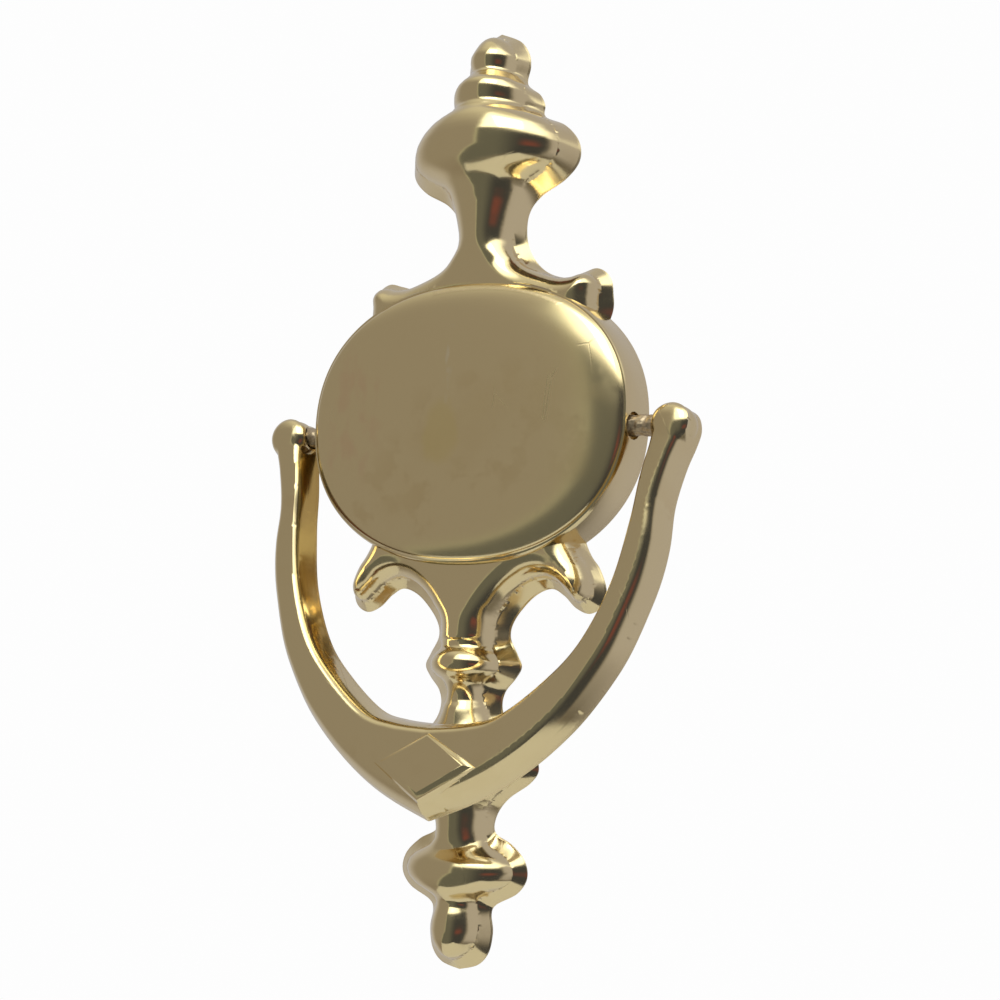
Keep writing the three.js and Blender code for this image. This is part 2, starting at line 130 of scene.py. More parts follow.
def depth_in(outline, points):
    """Distance of each point to the closed outline, positive inside it."""
    a, b = outline, np.roll(outline, -1, 0)
    span = b - a
    length2 = (span**2).sum(1)
    depth = np.empty(len(points))
    for first in range(0, len(points), 4000):
        p = points[first:first + 4000, None]
        t = np.clip(((p - a) * span).sum(2) / length2, 0, 1)[..., None]
        distance = np.sqrt(((p - a - t * span) ** 2).sum(2).min(1))
        crosses = (a[:, 1] > p[..., 1]) != (b[:, 1] > p[..., 1])
        rise = np.where(span[:, 1] == 0, 1, span[:, 1])
        hit = crosses & (p[..., 0] < a[:, 0] + span[:, 0] * (p[..., 1] - a[:, 1]) / rise)
        depth[first:first + 4000] = np.where(hit.sum(1) % 2, distance, -distance)
    return depth


def inset(outline, width):
    """The outline moved inwards, without the stretches that would fold over each other."""
    along = np.roll(outline, -1, 0) - np.roll(outline, 1, 0)
    along /= np.linalg.norm(along, axis=1, keepdims=True)
    moved = outline + width * np.stack([-along[:, 1], along[:, 0]], 1)
    return moved[depth_in(outline, moved) > width * 0.93] if width > 0 else moved


def mesh_object(name, corners, faces):
    """A new object from corners in millimetres."""
    mesh = bpy.data.meshes.new(name)
    mesh.from_pydata([tuple(MM * float(v) for v in c) for c in corners], [], faces)
    made = bpy.data.objects.new(name, mesh)
    bpy.context.scene.collection.objects.link(made)
    return made


def relief(name, outline, creases, height, spacing, back=0.0):
    """A closed body over a flat outline: its front stands out by height(points), its back is flat at y = back.
    The creases are rings and rows of points that the front's triangles run along."""
    seeds = np.vstack([outline] + creases)
    low, high = outline.min(0), outline.max(0)
    rows = np.arange(low[1], high[1], spacing * 0.866)
    grid = np.array([(x + (i % 2) * spacing / 2, z) for i, z in enumerate(rows)
                     for x in np.arange(low[0], high[0], spacing)])
    grid = grid[depth_in(outline, grid) > spacing * 0.5]
    apart = np.ones(len(grid), bool)
    for first in range(0, len(grid), 2000):
        gap = np.sqrt(((grid[first:first + 2000, None] - seeds) ** 2).sum(2).min(1))
        apart[first:first + 2000] = gap > spacing * 0.45
    points = np.vstack([seeds, grid[apart]])
    count = len(outline)
    edges = [(i, (i + 1) % count) for i in range(count)]
    flat, _, faces, *_ = delaunay_2d_cdt([Vector(p) for p in points], edges, [list(range(count))], 1, 1e-5)
    flat = np.array([tuple(p) for p in flat])
    border = np.abs(depth_in(outline, flat)) < 1e-4
    stands = np.where(border, 0, height(flat))
    inner = np.where(~border)[0]
    twin = np.arange(len(flat))
    twin[inner] = len(flat) + np.arange(len(inner))
    corners = [(x, back - h, z) for (x, z), h in zip(flat, stands)]
    corners += [(flat[i][0], back, flat[i][1]) for i in inner]
    front = [tuple(f) for f in faces]
    behind = [tuple(int(twin[i]) for i in reversed(f)) for f in faces]
    return mesh_object(name, corners, front + behind)


def across(z, stations, fine=0.05, softness=0.24):
    """The stations' values at the heights z, joined up and then rounded off over about half a millimetre."""
    at = np.array(sorted(stations))
    heights = np.arange(at[0, 0] - 2, at[-1, 0] + 2, fine)
    soft = np.exp(-0.5 * (np.arange(-16, 17) * fine / softness) ** 2)
    return [np.interp(z, heights, np.convolve(np.interp(heights, at[:, 0], at[:, i]), soft / soft.sum(), "same"))
            for i in range(1, at.shape[1])]


def spine_height(rim, edge, stations, join):
    """Front height over the plan: the rim's slope, then the crowned front, which is round on the spine and
    rolls off towards its edge on the shoulders, from one join height to the other."""
    reach = 0.93        # how much of a half-circle's width the spine's section takes
    foot = math.sqrt(1 - reach**2)
    corner = 5.4        # width of the shoulders' rolled edge

    def height(p):
        half, ledge, rise = across(p[:, 1], stations)
        depth = depth_in(rim, p)
        within = depth_in(edge, p)
        slope = np.clip(depth / np.maximum(depth - np.minimum(within, 0), 1e-6), 0, 1)
        low = ledge * slope
        round_front = np.sqrt(np.clip(1 - (reach * np.abs(p[:, 0]) / np.maximum(half, 1e-3)) ** 2, 0, 1))
        round_front = (round_front - foot) / (1 - foot)
        rolled = np.sqrt(1 - (1 - np.clip(within / corner, 0, 1)) ** 2)
        toward = np.clip((p[:, 1] - join[0]) / (join[1] - join[0]), 0, 1)
        toward = toward * toward * (3 - 2 * toward)
        front = ledge + rise * (round_front * (1 - toward) + rolled * toward)
        return np.where(within > 1e-4, np.maximum(front, low), low)

    return height


def crown_edge(stations, low, high):
    """The crown's right edge between two heights."""
    return [(half, z) for z, half, _, _ in stations if low <= z <= high]


def rows_across(edge, heights, reach):
    """Rows of points straight across the crown, at the heights where its front steps."""
    rows = [np.array([(x, z) for x in np.arange(-reach, reach + 0.01, 0.6)]) for z in heights]
    return [row[depth_in(edge, row) > 0.3] for row in rows]


def oval(a, b, turn):
    """A point of the medallion's oval, which is a little squarer than an ellipse."""
    c, s = math.cos(turn), math.sin(turn)
    return (a * math.copysign(abs(c) ** (2 / drum_squareness), c),
            drum_centre + b * math.copysign(abs(s) ** (2 / drum_squareness), s))


def joined(target, tool, operation):
    """The target with the tool added or cut away."""
    change = target.modifiers.new("join", "BOOLEAN")
    change.operation = operation
    change.solver = "MANIFOLD"
    change.object = tool
    bpy.context.view_layer.objects.active = target
    bpy.ops.object.modifier_apply(modifier=change.name)
    bpy.data.objects.remove(tool)


def rod(name, radius, start, end, sides=48, bevel=0.0):
    """A round bar between two points, its ends bevelled if a bevel is given."""
    start, end = Vector(start), Vector(end)
    turn = (end - start).to_track_quat("Z", "Y").to_euler()
    bpy.ops.object.select_all(action="DESELECT")
    bpy.ops.mesh.primitive_cylinder_add(vertices=sides, radius=radius * MM, depth=(end - start).length * MM,
                                        location=(start + end) / 2 * MM, rotation=turn)
    bar = bpy.context.object
    bar.name = name
    bpy.ops.object.transform_apply(location=True, rotation=True, scale=True)
    if bevel:
        bpy.ops.object.mode_set(mode="EDIT")
        bpy.ops.mesh.select_all(action="SELECT")
        bpy.ops.mesh.edges_select_sharp(sharpness=math.radians(60))
        bpy.ops.mesh.bevel(offset=bevel * MM, segments=3, affect="EDGES")
        bpy.ops.object.mode_set(mode="OBJECT")
    return bar


# The medallion: each ring's distance in from the outline, and its height off the door. Its upper edge is polished
# lower than the rest.
drum_rings = [
    (0, 0), (0.25, 3), (0.6, 6), (1.0, 8.6), (1.2, 9.3), (1.45, 9.75), (1.62, 9.8), (1.8, 9.84), (2.1, 10.25),
    (2.5, 10.55), (3.1, 10.83), (3.8, 11.06), (4.6, 11.26), (5.5, 11.44), (6.5, 11.59), (7.7, 11.73), (9, 11.84),
    (11, 11.96), (13.5, 12.07), (16.5, 12.17), (20, 12.26), (25, 12.34), (30, 12.38),
]
drum_face = 12.4
sides = 192
corners, faces = [], []
for width, off in drum_rings:
    for i in range(sides):
        turn = 2 * math.pi * i / sides
        worn = 1.8 * max(0, math.sin(turn + 0.3)) ** 2 * min(1, width / 2) * math.exp(-width / 8)
        x, z = oval(drum_half_width - width, drum_half_height - width, turn)
        corners.append((x, worn - off, z))
for start in range(0, (len(drum_rings) - 1) * sides, sides):
    for i in range(sides):
        a, b = start + i, start + (i + 1) % sides
        faces.append((a, b, b + sides, a + sides))
top = len(corners) - sides
corners.append((0, -drum_face, drum_centre))
faces += [(top + i, top + (i + 1) % sides, len(corners) - 1) for i in range(sides)]
faces.append(tuple(reversed(range(sides))))
plate = mesh_object("plate_casting", corners, faces)

# The spine and the horns, above and below it. Behind, the casting is hollow to a thin wall.
cast_wall = 1.8
pocket_rings = [(0, 1.0), (0, 0), (1.3, -9.7)]
sides = 96
corners = [(x, y, z) for inward, y in pocket_rings for x, z in
           (oval(35.6 - inward, 29.2 - inward, 2 * math.pi * i / sides) for i in range(sides))]
faces = [tuple(reversed(range(sides))), tuple(range(2 * sides, 3 * sides))]
faces += [(r + i, r + (i + 1) % sides, r + sides + (i + 1) % sides, r + sides + i)
          for r in (0, sides) for i in range(sides)]
pocket = mesh_object("pocket", corners, faces)

upper_edge = both_sides([(0, 90.1)] + crown_edge(upper_crown, 41.5, 89.75) + upper_shoulder, 0.5)
lower_edge = both_sides(lower_shoulder + crown_edge(lower_crown, -110.8, -39) + [(0, -111.1)], 0.5)
for rim, edge, stations, join, steps, reach in (
        (upper_rim, upper_edge, upper_crown, (44, 38), (71.8, 71.6), 12),
        (lower_rim, lower_edge, lower_crown, (-42, -37),
         (-44.3, -44.7, -46.4, -46.8, -52.6, -53.2, -57.9, -58.4), 8)):
    outline = both_sides(rim)
    front = spine_height(outline, edge, stations, join)
    creases = [edge] + [inset(edge, w) for w in (0.06, 0.25, 0.6, 1.1)] + rows_across(edge, steps, reach)
    creases += [inset(outline, w) for w in (0.3, 0.8, 1.3, 1.8, 2.3, 2.8)]
    joined(plate, relief("spine", outline, creases, front, 0.75), "UNION")
    walled = inset(outline, 3.0)
    hollow = relief("hollow", walled, [inset(walled, w) for w in (0.35, 0.8, 1.3)],
                    lambda p: np.maximum(front(p) - cast_wall, 0.6)
                    * np.clip(depth_in(walled, p) / 1.4, 0.02, 1) ** 0.5, 1.0, back=1.0)
    joined(pocket, hollow, "UNION")
joined(plate, pocket, "DIFFERENCE")

for height in stud_heights:
    joined(plate, rod("boss", boss_radius, (0, -0.02, height), (0, -11, height)), "UNION")
    joined(plate, rod("blind_hole", stud_hole_radius, (0, 1, height), (0, -8.3, height)), "DIFFERENCE")
for side in (-1, 1):
    inner, outer = (side * 30, -pivot_depth, 0), (side * 42, -pivot_depth, 0)
    joined(plate, rod("pin_hole", pin_hole_radius, inner, outer, 15), "DIFFERENCE")
joined(plate, rod("strike_seat", 5.3, (0, -9.34, strike_height), (0, -14, strike_height)), "DIFFERENCE")
joined(plate, rod("strike_hole", shank_hole_radius, (0, 2, strike_height), (0, -14, strike_height)), "DIFFERENCE")


class Shade:
    """A shader socket that takes part in Python arithmetic: each operator adds the Math node it stands for."""

    def __init__(self, tree, socket=None):
        self.tree, self.socket = tree, socket

    def node(self, kind, settings=None, **sockets):
        """A node of this kind; sockets are given by name, or by number as i0, i1 and so on."""
        made = self.tree.nodes.new("ShaderNode" + kind)
        settings = dict(settings or {})
        output = settings.pop("output", 0)
        for key, value in settings.items():
            setattr(made, key, value)
        for key, value in sockets.items():
            numbered = key[0] == "i" and key[1:].isdigit()
            into = made.inputs[int(key[1:])] if numbered else made.inputs[key]
            if isinstance(value, Shade):
                self.tree.links.new(value.socket, into)
            else:
                into.default_value = value
        return Shade(self.tree, made.outputs[output])

    def math(self, operation, *values):
        return self.node("Math", {"operation": operation}, **{f"i{i}": v for i, v in enumerate(values)})

    def __add__(self, other):
        return self.math("ADD", self, other)

    def __radd__(self, other):
        return self.math("ADD", other, self)

    def __sub__(self, other):
        return self.math("SUBTRACT", self, other)

    def __rsub__(self, other):
        return self.math("SUBTRACT", other, self)

    def __mul__(self, other):
        return self.math("MULTIPLY", self, other)

    def __rmul__(self, other):
        return self.math("MULTIPLY", other, self)

    def __truediv__(self, other):
        return self.math("DIVIDE", self, other)

    def __rtruediv__(self, other):
        return self.math("DIVIDE", other, self)

    def __neg__(self):
        return self.math("MULTIPLY", self, -1)

    def ramp(self, low, high):
        """0 below low, 1 above high, with a smooth step between."""
        return self.node("MapRange", {"interpolation_type": "SMOOTHSTEP"}, i0=self, i1=low, i2=high)

    def mix(self, first, second):
        """Colour from first to second as this value goes from 0 to 1."""
        return self.node("Mix", {"data_type": "RGBA", "output": 2}, i0=self, i6=first, i7=second)

    def into(self, socket):
        self.tree.links.new(self.socket, socket)


def principled(name):
    """A new material, its Principled shader's inputs, and a Shade to start its nodes from."""
    material = bpy.data.materials.new(name)
    material.use_nodes = True
    tree = material.node_tree
    return material, tree.nodes["Principled BSDF"].inputs, Shade(tree)


def brass(name, colour, roughness, marks):
    """Brass with fine polishing lines, a few stray scratches, dull patches and stains; as-cast skin where marked."""
    material, inputs, start = principled(name)
    at = start.node("TexCoord", {"output": "Object"})
    skin = start.node("Attribute", {"attribute_name": "as_cast", "output": "Fac"})
    face = start.node("Attribute", {"attribute_name": "hazed", "output": "Fac"})
    x, z = (start.node("SeparateXYZ", {"output": axis}, i0=at) for axis in "XZ")

    def noise(scale, detail=2.0, stretch=(1, 1, 1)):
        return start.node("TexNoise", i0=start.node("Mapping", i0=at, i3=stretch), i2=scale, i3=detail)

    def toned(red, green, blue):
        """The brass's own colour, scaled in each channel."""
        return colour[0] * red, colour[1] * green, colour[2] * blue, 1

    def spot(across, height, half_width, half_height, ragged):
        """A ragged-edged patch of the medallion's face, in millimetres."""
        u = (x * 1000 - across + (ragged - 0.5) * half_width * 1.6) / half_width
        v = (z * 1000 - height + (ragged - 0.5) * half_height * 1.1) / half_height
        return (1 - (u * u + v * v).ramp(0.3, 1.25)) * face

    patches = noise(34.0, 4.0).ramp(0.52, 0.68)
    blotch = noise(150.0, 5.0).ramp(0.50, 0.62) * noise(22.0).ramp(0.5, 0.62)
    lines = noise(900.0, 3.0, (1.0, 1.0, 0.06)) + noise(1300.0, 2.0, (0.07, 1.0, 1.0))
    cells = start.node("TexVoronoi", {"feature": "DISTANCE_TO_EDGE", "output": "Distance"},
                       i0=start.node("Mapping", i0=at, i2=(0.3, 0.2, 0.6), i3=(1, 1, 0.35)), i2=120.0)
    scratches = (1 - cells.ramp(0.004, 0.012)) * noise(60.0).ramp(0.56, 0.66)
    grain = noise(1500.0, 6.0)
    torn = noise(180.0, 5.0)
    fingered = spot(-26.0, 3.0, 7.5, 17.0, torn) * noise(260.0, 5.0, (1.0, 1.0, 0.5)).ramp(0.44, 0.62)
    smudge = spot(-4.5, -1.0, 4.5, 7.5, torn)
    residue = spot(-3.2, 13.5, 0.9, 8.0, noise(330.0, 5.0)) * noise(900.0, 4.0, (1.0, 1.0, 0.3)).ramp(0.45, 0.62)

    tint = blotch.mix(toned(1, 1, 1), toned(0.93, 0.90, 0.86))
    tint = patches.mix(tint, toned(0.97, 0.955, 0.93))
    tint = (fingered * 0.55).mix(tint, toned(0.98, 0.86, 0.90))
    tint = (smudge * 0.5).mix(tint, toned(0.97, 0.95, 0.72))
    tint = (residue * 0.3).mix(tint, (0.86, 0.80, 0.66, 1))
    skin.mix(tint, toned(1.0, 0.985, 1.0)).into(inputs["Base Color"])

    rough = roughness + (face + fingered + residue + blotch) * 0.05 + patches * 0.03 + lines * 0.02
    (rough + scratches * 0.1 + skin * (0.12 + grain * 0.16)).into(inputs["Roughness"])

    height = lines * 0.05 * marks - scratches * 0.5 + noise(60.0, 1.0) * 3.0
    height = height + skin * (grain * 1.4 + noise(420.0, 3.0) * 2.2)
    start.node("Bump", Strength=0.35, Distance=0.00006, Height=height).into(inputs["Normal"])
    inputs["Metallic"].default_value = 1
    return material


def marked(made, layer_name, value):
    """A named value on each corner of the mesh, from value(places in millimetres, normals), for the brass."""
    made.data.update()
    count = len(made.data.vertices)
    normal, place = np.empty(count * 3), np.empty(count * 3)
    made.data.vertices.foreach_get("normal", normal)
    made.data.vertices.foreach_get("co", place)
    found = value(place.reshape(-1, 3) / MM, normal.reshape(-1, 3))
    layer = made.data.attributes.new(layer_name, "FLOAT", "POINT")
    layer.data.foreach_set("value", np.clip(found, 0, 1).astype(np.float32))


def finished(made, node, body, material):
    """The piece smoothed between its sharp edges, in its material, standing for its node and moving with a body."""
    made.data.materials.clear()
    made.data.materials.append(material)
    bpy.ops.object.select_all(action="DESELECT")
    made.select_set(True)
    bpy.context.view_layer.objects.active = made
    bpy.ops.object.shade_smooth_by_angle(angle=math.radians(38))
    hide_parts(node)
    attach(made, body)


def plate_skin(p, n):
    """As cast on the back, in the pockets and at the rim's foot, and a little on the rim's steep sides."""
    steep = 0.12 * ((n[:, 1] + 0.72) / 0.25).clip(0, 1) * (p[:, 1] > -9.8)
    in_pocket = (np.hypot(p[:, 0] / 36.2, (p[:, 2] - drum_centre) / 29.8) < 1) * (p[:, 1] > -9.9)
    return np.where(p[:, 1] < -1e-4, steep, 1) + (n[:, 1] > 0.3) + in_pocket


marked(plate, "as_cast", plate_skin)
# the medallion's face is hazed by handling
marked(plate, "hazed", lambda p, n: (-10.2 - p[:, 1]) / 0.6 * (np.abs(p[:, 2] - drum_centre) < drum_half_height))
polished = brass("polished_brass", (0.80, 0.652, 0.365), 0.11, 1.0)
finished(plate, "back_plate", "plate", polished)


# ---- strike stud -------------------------------------------------------------------------------------
# A domed satin brass stud that the bail knocks on. Its shank is riveted through the flare low on the plate.
def turned_piece(name, profile, sides=64):
    """A solid of revolution about Z, spun in edit mode from (radius, height) points that end on the axis."""
    path = [(i, i + 1) for i in range(len(profile) - 1)]
    made = mesh_object(name, [(r, 0, h) for r, h in profile], [])
    made.data.edges.add(len(path))
    made.data.edges.foreach_set("vertices", [i for pair in path for i in pair])
    bpy.ops.object.select_all(action="DESELECT")
    made.select_set(True)
    bpy.context.view_layer.objects.active = made
    bpy.ops.object.mode_set(mode="EDIT")
    bpy.ops.mesh.select_all(action="SELECT")
    bpy.ops.mesh.spin(steps=sides, angle=2 * math.pi, center=(0, 0, 0), axis=(0, 0, 1))
    bpy.ops.mesh.select_all(action="SELECT")
    bpy.ops.mesh.remove_doubles(threshold=1e-6)
    bpy.ops.mesh.normals_make_consistent(inside=False)
    bpy.ops.object.mode_set(mode="OBJECT")
    return made


strike = turned_piece("strike_button", [
    (0, 6.56), (1.9, 6.56), (2.2, 6.9), (2.2, 9.6), (5.0, 9.66), (5.0, 10.6), (4.85, 11.3), (4.4, 11.9), (3.6, 12.4),
    (2.4, 12.75), (1.2, 12.9), (0, 12.93)])
strike.data.transform(Matrix.Translation((0, 0, strike_height * MM)) @ Matrix.Rotation(math.radians(90), 4, "X"))
satin = brass("satin_brass", (0.78, 0.63, 0.36), 0.22, 3.0)
finished(strike, "strike_stud", "plate", satin)


# ---- bail --------------------------------------------------------------------------------------------
# Solid cast brass in a wide V: two arms with ball ears above, and a raised diamond over the pointed tip. Its front
# is polished, its flanks are a little rougher and its back is as cast. It is drawn hanging down, then leaned out.
bail_shift = 1.2
bail_lean = math.radians(11)
bail_back = 3.0
flank = 0.8             # plan width of the steep flank below the crown
flank_height = 3.3
crown_rise = 3.7
diamond_centre = (0.9, -73.6)
striker_height = -72.33
ear_x = 45.4
inner_edge = [
    (0, -63.7), (8, -63), (14.6, -61.1), (ear_x - 22.4, -54.4), (ear_x - 15.6, -46.6), (ear_x - 10.2, -34.7),
    (ear_x - 7.5, -22), (ear_x - 6.4, -13), (ear_x - 5.3, -6.5), (ear_x - 4.7, -1.5), (ear_x - 3.6, 2.4),
]
outer_edge = [
    (ear_x, 3.9), (ear_x + 3.2, 2.6), (ear_x + 4.3, -0.5), (ear_x + 3.6, -4), (ear_x + 1.9, -9.2),
    (ear_x + 0.3, -17), (ear_x, -25.5), (ear_x - 1.1, -32.6), (ear_x - 3.1, -39.5), (ear_x - 6, -47.5),
    (ear_x - 9.2, -53.6), (ear_x - 13.8, -60.5), (ear_x - 18.4, -65.8), (ear_x - 24, -71), (ear_x - 30.5, -75.7),
    (8.4, -79.2), (0, -82.7),
]
cast_on = 0.5           # the casting is this much larger all round than these edges
bail_outline = inset(both_sides(inner_edge + outer_edge), -cast_on)
opening, hull = both_sides(inner_edge), both_sides(outer_edge)


def bail_height(p):
    """The bail's front is crowned: rounded tightly along the opening and more broadly along the outside."""
    depth = depth_in(bail_outline, p)
    down = [0, 9, 20, 35, 50, 60, 70, 84]
    tight = np.interp(-p[:, 1], down, [2.4, 1.4, 1.4, 1.6, 2.0, 2.5, 3.2, 4.2])
    broad = np.interp(-p[:, 1], down, [2.4, 2.4, 2.9, 3.0, 3.0, 3.0, 3.4, 4.2])
    from_opening = (cast_on - flank - depth_in(opening, p)) / tight
    from_outside = (cast_on - flank + depth_in(hull, p)) / broad
    wall = flank_height * np.clip(depth / flank, 0, 1)
    roll = np.clip(np.minimum(from_opening, from_outside), 0, 1)
    arm = np.where(depth < flank, wall, flank_height + crown_rise * (1 - (1 - roll) ** 2.1))
    off = np.hypot(np.abs(p[:, 0]) - ear_x, p[:, 1] + 0.5)
    ball = 3 + 4.5 * np.clip(1 - (off / 4.8) ** 2.8, 0, 1) ** (1 / 2.8)
    over = np.clip(0.5 + (ball - arm) / 1.6, 0, 1)
    return np.where(depth < flank, wall, arm * (1 - over) + ball * over + 0.4 * over * (1 - over))


bail = relief("bail_casting", bail_outline,
              [inset(bail_outline, w) for w in (0.3, 0.8, 0.86, 1.0, 1.2, 1.45, 1.75, 2.1, 2.5, 2.95, 3.4)],
              bail_height, 0.7, back=bail_back)
for side in (-1, 1):
    bpy.ops.object.select_all(action="DESELECT")
    bpy.ops.mesh.primitive_uv_sphere_add(segments=48, ring_count=24, radius=4.6 * MM,
                                         location=(side * ear_x * MM, 0.6 * MM, -0.5 * MM))
    ear = bpy.context.object
    bpy.ops.object.transform_apply(location=True, rotation=True, scale=True)
    joined(bail, ear, "UNION")
    joined(bail, rod("ear_hole", 2.45, (side * 39, 0, 0), (side * 46.8, 0, 0)), "DIFFERENCE")

# The diamond: a flat face with two narrow bevelled steps down to the crown. Each ring's widening and height.
diamond_rings = [(0.7, 0), (0.7, 3.4), (0.25, 4.3), (0.05, 4.35), (-0.75, 5.15), (-0.95, 5.25), (-1.15, 5.25)]
corners = []
for widen, off in diamond_rings:
    half_width, half_height = 10.7 + widen * 1.8, 7 + widen * 1.2
    corners += [(half_width, -off, 0), (0, -off, half_height), (-half_width, -off, 0), (0, -off, -half_height)]
last = len(corners) - 4
faces = [(3, 2, 1, 0), tuple(range(last, last + 4))]
faces += [(r + i, r + (i + 1) % 4, r + 4 + (i + 1) % 4, r + 4 + i) for r in range(0, last, 4) for i in range(4)]
diamond = mesh_object("diamond", corners, faces)
diamond.data.transform(Matrix.Translation((diamond_centre[0] * MM, 0, diamond_centre[1] * MM))
                       @ Matrix.Rotation(math.radians(-7), 4, "X"))
joined(bail, diamond, "UNION")
joined(bail, rod("striker_hole", shank_hole_radius, (0, 4, striker_height), (0, -1, striker_height)), "DIFFERENCE")
hung = Matrix.Translation((bail_shift * MM, -pivot_depth * MM, 0)) @ Matrix.Rotation(-bail_lean, 4, "X")
bail.data.transform(hung)


def bail_skin(p, n):
    """As cast on its back, and a little on its flanks."""
    backward = n[:, 1] * math.cos(bail_lean) - n[:, 2] * math.sin(bail_lean)
    behind = (p[:, 1] + pivot_depth) * math.cos(bail_lean) - p[:, 2] * math.sin(bail_lean) > -0.45
    return 0.15 * ((backward + 0.62) / 0.3).clip(0, 1) * behind + (backward > 0.5)


marked(bail, "as_cast", bail_skin)
finished(bail, "bail", "bail", polished)


# ---- pivot pins --------------------------------------------------------------------------------------
# Two rough brass rivets, driven from inside the medallion through its side wall into the bail's ears. Each has its
# head inside, and an uneven hammered skin.
pin_radius, head_radius, head_thick = 2.25, 2.8, 1.6
rough = brass("cast_brass", (0.52, 0.415, 0.27), 0.24, 1.0)
for side, name in ((-1, "left_pivot_pin"), (1, "right_pivot_pin")):
    inner, outer = side * 30.8 + bail_shift, side * 46.5 + bail_shift
    pin = rod(name + "_rivet", pin_radius, (inner, -pivot_depth, 0), (outer, -pivot_depth, 0), 40, 0.5)
    head = rod("head", head_radius, (inner, -pivot_depth, 0), (inner + side * head_thick, -pivot_depth, 0), 40, 0.5)
    joined(pin, head, "UNION")
    bpy.ops.object.select_all(action="DESELECT")
    pin.select_set(True)
    bpy.context.view_layer.objects.active = pin
    even = pin.modifiers.new("even", "REMESH")
    even.mode = "VOXEL"
    even.voxel_size = 0.22 * MM
    bpy.ops.object.modifier_apply(modifier=even.name)
    dents = bpy.data.textures.new(pin.name + "_skin", "CLOUDS")
    dents.noise_scale = 1.7 * MM
    uneven = pin.modifiers.new("uneven", "DISPLACE")
    uneven.texture = dents
    uneven.strength = 0.9 * MM
    uneven.mid_level = 0.62
    bpy.ops.object.modifier_apply(modifier=uneven.name)
    marked(pin, "as_cast", lambda p, n: np.full(len(p), 0.8))
    finished(pin, name, "bail", rough)


# ---- striker button ----------------------------------------------------------------------------------
# A flat satin brass button riveted into the bail's back behind the diamond, where the bail meets the strike stud.
striker = turned_piece("striker_pad", [
    (0, 0.3), (1.9, 0.3), (2.2, 0.6), (2.2, 3.3), (4.45, 3.3), (4.5, 3.45), (4.5, 5.6), (4.2, 6.3), (3.1, 6.62),
    (0, 6.64)])
striker.data.transform(hung @ Matrix.Translation((0, 0, striker_height * MM))
                       @ Matrix.Rotation(math.radians(-90), 4, "X"))
finished(striker, "striker_button", "bail", satin)


# ---- fixings -----------------------------------------------------------------------------------------
# Two zinc-plated threaded studs screwed into the bosses and taken through a 35 mm door, each with a flat washer and
# a brass dome nut on the inside. The thread is cut with a 1 mm pitch and run out at both ends.
def threaded(name, height):
    """A stud along Y, its thread made of rings a quarter of the pitch apart."""
    radius, thread_depth, pitch, sides = 2.95, 0.42, 1.0, 48
    start, end = -7.95, 43.55
    levels = [start + pitch / 4 * k for k in range(207)]
    corners, faces = [], []
    for level in levels:
        cut = thread_depth * (1 if -7.4 < level < 42.9 else 0.35)
        tip = 2.3 + 1.2 * max(0, min(level - start, end - level))
        for i in range(sides):
            wave = (level - pitch * i / sides) % pitch
            at = min(tip, radius - cut * (1 - min(1, abs(wave - pitch / 2) / (pitch / 2))))
            turn = 2 * math.pi * i / sides
            corners.append((at * math.cos(turn), level, height + at * math.sin(turn)))
    last = (len(levels) - 1) * sides
    for r in range(0, last, sides):
        for i in range(sides):
            j = (i + 1) % sides
            faces.append((r + i, r + sides + i, r + sides + j, r + j))
    faces += [tuple(range(sides)), tuple(reversed(range(last, last + sides)))]
    return mesh_object(name, corners, faces)


def zinc():
    """Pale zinc plating, faintly cloudy, duller in patches."""
    material, inputs, start = principled("zinc_steel")
    cloud = start.node("TexNoise", i0=start.node("TexCoord", {"output": "Object"}), i2=260.0, i3=4.0)
    cloud.ramp(0.4, 0.65).mix((0.60, 0.62, 0.65, 1), (0.74, 0.74, 0.71, 1)).into(inputs["Base Color"])
    (0.26 + cloud * 0.24).into(inputs["Roughness"])
    inputs["Metallic"].default_value = 1
    return material


plated = zinc()
for side, height in zip(("upper", "lower"), stud_heights):
    on_stud = Matrix.Translation((0, 0, height * MM)) @ Matrix.Rotation(math.radians(-90), 4, "X")
    stud = threaded(f"{side}_threaded_stud", height)
    finished(stud, f"{side}_fixing_stud", "plate", plated)

    washer = turned_piece(f"{side}_flat_washer", [
        (0, 35), (7.7, 35), (8, 35.2), (8, 36.15), (7.8, 36.38), (0, 36.38)], 72)
    washer.data.transform(on_stud)
    joined(washer, rod("washer_hole", stud_hole_radius, (0, 34, height), (0, 38, height)), "DIFFERENCE")
    finished(washer, f"{side}_washer", "plate", plated)

    nut = rod(f"{side}_acorn_nut", 5.72, (0, 36.72, height), (0, 41.7, height), 6, 0.25)
    dome = turned_piece("dome", [
        (0, 40), (4.7, 40), (4.7, 41.9), (4.6, 42.6), (4.3, 43.4), (3.8, 44.2), (3.0, 44.95), (2.0, 45.4),
        (0.9, 45.62), (0, 45.68)])
    dome.data.transform(on_stud)
    joined(nut, dome, "UNION")
    joined(nut, rod("thread_hole", stud_hole_radius, (0, 35, height), (0, 44, height)), "DIFFERENCE")
    finished(nut, f"{side}_dome_nut", "plate", polished)


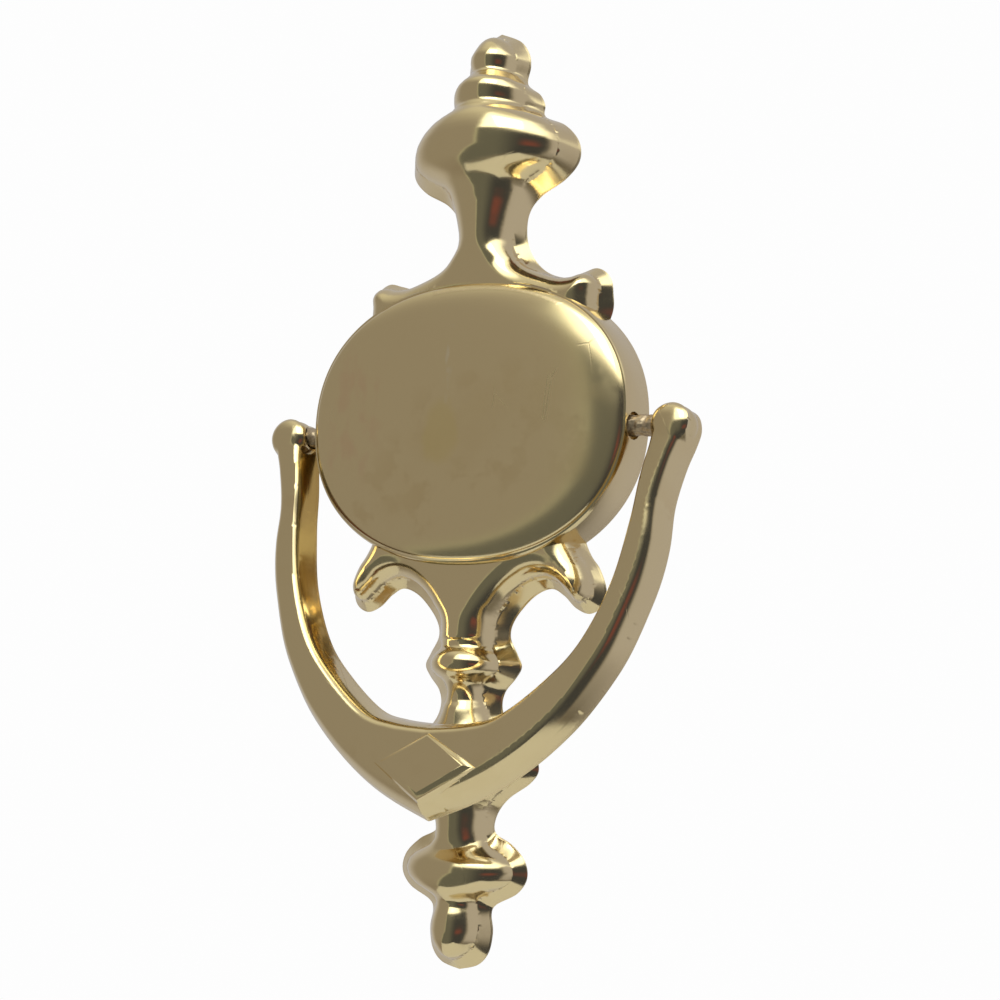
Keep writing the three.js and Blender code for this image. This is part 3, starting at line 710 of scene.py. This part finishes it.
# ---- camera, floor and light -------------------------------------------------------------------------
# The knocker is seen from its right and from a little below its middle, with the camera turned slightly on its axis,
# over a pale floor and under one soft lamp.
scene = bpy.context.scene
camera_data = bpy.data.cameras.new("camera")
camera_data.lens = 64.8
camera_data.sensor_width = 36
camera_data.clip_start = 0.01
camera = bpy.data.objects.new("camera", camera_data)
scene.collection.objects.link(camera)
look_left, look_up, roll = math.radians(25.76), math.radians(7.74), math.radians(2.52)
camera.matrix_world = (
    Matrix.Translation((0.1721, -0.3471, -0.0663))
    @ Matrix.Rotation(look_left, 4, "Z")
    @ Matrix.Rotation(math.pi / 2 + look_up, 4, "X")
    @ Matrix.Rotation(roll, 4, "Z")
)
scene.camera = camera
scene.view_settings.view_transform = "Standard"

bpy.ops.object.select_all(action="DESELECT")
bpy.ops.mesh.primitive_plane_add(size=1.4, location=(0, 0, -0.9))
floor = bpy.context.object
floor.name = "floor"
pale, inputs, _ = principled("pale_floor")
inputs["Base Color"].default_value = (0.8, 0.8, 0.79, 1)
inputs["Roughness"].default_value = 0.8
floor.data.materials.append(pale)

lamp_place = Vector((0.5, -0.9, 1.2))
lamp_data = bpy.data.lights.new("soft_box", "AREA")
lamp_data.energy = 4
lamp_data.size = 0.8
lamp = bpy.data.objects.new("soft_box", lamp_data)
lamp.matrix_world = Matrix.Translation(lamp_place) @ lamp_place.to_track_quat("Z", "Y").to_matrix().to_4x4()
scene.collection.objects.link(lamp)

# A soft room round the knocker, which the polished brass mirrors: a plain wall on the left, an open bright ceiling
# above the front, a dim side behind the camera with a dull red spot, and light walls at the back on both sides.
# Its areas are given by their turn to the right of straight ahead of the plate, and by their height, in degrees.
world = bpy.data.worlds.new("studio")
world.use_nodes = True
tree = world.node_tree
tree.nodes.clear()
room = Shade(tree)
toward = room.node("TexCoord", {"output": "Generated"})
x, y, z = (room.node("SeparateXYZ", {"output": axis}, i0=toward) for axis in "XYZ")
degrees = math.degrees(1)
turn = room.math("ARCTAN2", x, -y) * degrees
up = room.math("ARCSINE", z) * degrees
edge = turn - room.math("MINIMUM", up, 0.0) * 0.95
dim_side = edge.ramp(-14.0, -11.5) * (1 - turn.ramp(78.0, 92.0)) * (1 - up.ramp(24.0, 32.0)) * up.ramp(-62.0, -42.0)
bright = turn.ramp(-17.0, -7.0) * (1 - turn.ramp(70.0, 120.0)) * up.ramp(25.0, 34.0) * (1 - up.ramp(58.0, 80.0))
strip = edge.ramp(-17.0, -15.5) * (1 - edge.ramp(-13.0, -11.5)) * up.ramp(-60.0, -30.0)
red = turn.ramp(34.0, 50.0) * (1 - turn.ramp(56.0, 78.0)) * up.ramp(-20.0, -5.0) * (1 - up.ramp(-4.0, 10.0))
behind_left = 1 - turn.ramp(-120.0, -85.0)
behind_right = turn.ramp(80.0, 96.0)
light = up.ramp(32.0, 75.0).mix((0.335, 0.318, 0.305, 1), (0.72, 0.72, 0.66, 1))
light = up.ramp(-75.0, -15.0).mix((0.24, 0.21, 0.19, 1), light)
light = behind_left.mix(light, (0.52, 0.52, 0.56, 1))
light = behind_right.mix(light, up.ramp(-52.0, -20.0).mix((0.13, 0.12, 0.11, 1), (0.50, 0.50, 0.56, 1)))
light = strip.mix(light, (0.5, 0.52, 0.44, 1))
light = bright.mix(light, (2.1, 2.2, 2.1, 1))
light = dim_side.mix(light, turn.ramp(5.0, 45.0).mix((0.15, 0.16, 0.16, 1), (0.06, 0.065, 0.08, 1)))
light = red.mix(light, (0.20, 0.075, 0.075, 1))
light = room.node("LightPath", {"output": "Is Camera Ray"}).mix(light, (0.985, 0.985, 0.985, 1))
room.node("Background", i0=light).into(tree.nodes.new("ShaderNodeOutputWorld").inputs[0])
scene.world = world
